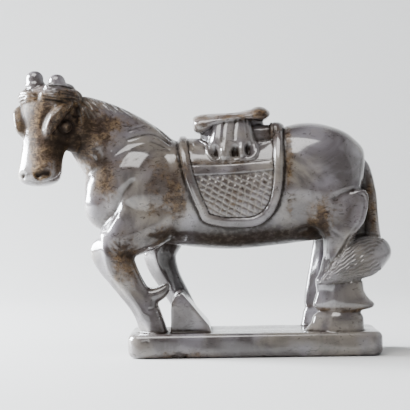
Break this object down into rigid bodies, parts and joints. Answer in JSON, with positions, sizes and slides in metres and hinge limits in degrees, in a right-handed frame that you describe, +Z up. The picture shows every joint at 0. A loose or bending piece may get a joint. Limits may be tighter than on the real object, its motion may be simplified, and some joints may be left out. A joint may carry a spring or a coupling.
{
  "type": "horse carving",
  "caption": "Carved grey jade horse with a saddle and saddle cloth, head turned to its left, standing on a flat base carved from the same block",
  "frame": {"origin": "centre of the underside of the base", "axes": "+X towards the tail along the base's length, -Y towards the horse's left side, +Z up"},
  "size_m": [0.148, 0.0458, 0.1131],
  "materials": {
    "carved_stone": null
  },
  "bodies": {
    "root": {"horse_carving": "carved_stone"}
  },
  "joints": []
}
